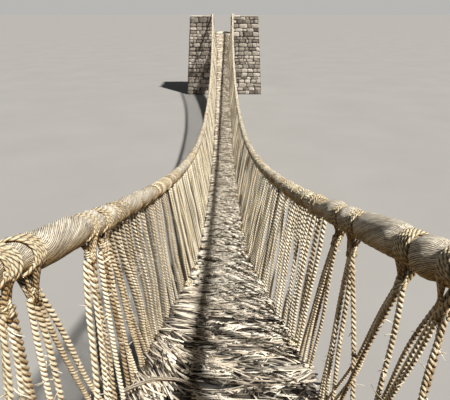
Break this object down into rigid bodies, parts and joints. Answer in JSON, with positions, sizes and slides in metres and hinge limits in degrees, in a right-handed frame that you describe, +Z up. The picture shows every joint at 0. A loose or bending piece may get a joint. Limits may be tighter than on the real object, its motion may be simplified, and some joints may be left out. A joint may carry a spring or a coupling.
{
  "type": "rope suspension footbridge",
  "caption": "Hand-woven rope suspension footbridge: sagging stick deck on thick floor cables, handrail cables, side nets of hanger ropes and a dry-stone gateway abutment at each end.",
  "frame": {"origin": "on the ground below the middle of the span, at the centre of the whole footprint", "axes": "+Y runs along the bridge from the near end to the far end, +X across it to the right, +Z up"},
  "size_m": [4.9594, 35.083, 4.7667],
  "materials": {
    "masonry": "rough dark rubble laid dry",
    "capstone": "pale flat slabs, rough",
    "log": "weathered round timber",
    "stick_mat": "dry sticks and brush, bleached, ragged",
    "cable_rope": "dry grass fibre, plaited, matt",
    "hanger_rope": "dry grass fibre, twisted in pairs, matt"
  },
  "bodies": {
    "root": {"near_base": "masonry", "near_pier_left": "masonry", "near_pier_right": "masonry", "near_capstones_left": "capstone", "near_capstones_right": "capstone", "near_anchor_log": "log", "near_passage_mat": "stick_mat", "far_base": "masonry", "far_pier_left": "masonry", "far_pier_right": "masonry", "far_capstones_left": "capstone", "far_capstones_right": "capstone", "far_anchor_log": "log", "far_passage_mat": "stick_mat", "floor_cable_1": "cable_rope", "floor_cable_2": "cable_rope", "floor_cable_3": "cable_rope", "floor_cable_4": "cable_rope", "handrail_left": "cable_rope", "side_net_left_1": "hanger_rope", "side_net_left_2": "hanger_rope", "side_net_left_3": "hanger_rope", "side_net_left_4": "hanger_rope", "side_net_left_5": "hanger_rope", "side_net_left_6": "hanger_rope", "handrail_right": "cable_rope", "side_net_right_1": "hanger_rope", "side_net_right_2": "hanger_rope", "side_net_right_3": "hanger_rope", "side_net_right_4": "hanger_rope", "side_net_right_5": "hanger_rope", "side_net_right_6": "hanger_rope", "deck_mat_01": "stick_mat", "deck_mat_02": "stick_mat", "deck_mat_03": "stick_mat", "deck_mat_04": "stick_mat", "deck_mat_05": "stick_mat", "deck_mat_06": "stick_mat", "deck_mat_07": "stick_mat", "deck_mat_08": "stick_mat", "deck_mat_09": "stick_mat", "deck_mat_10": "stick_mat", "deck_mat_11": "stick_mat", "deck_mat_12": "stick_mat"}
  },
  "joints": []
}
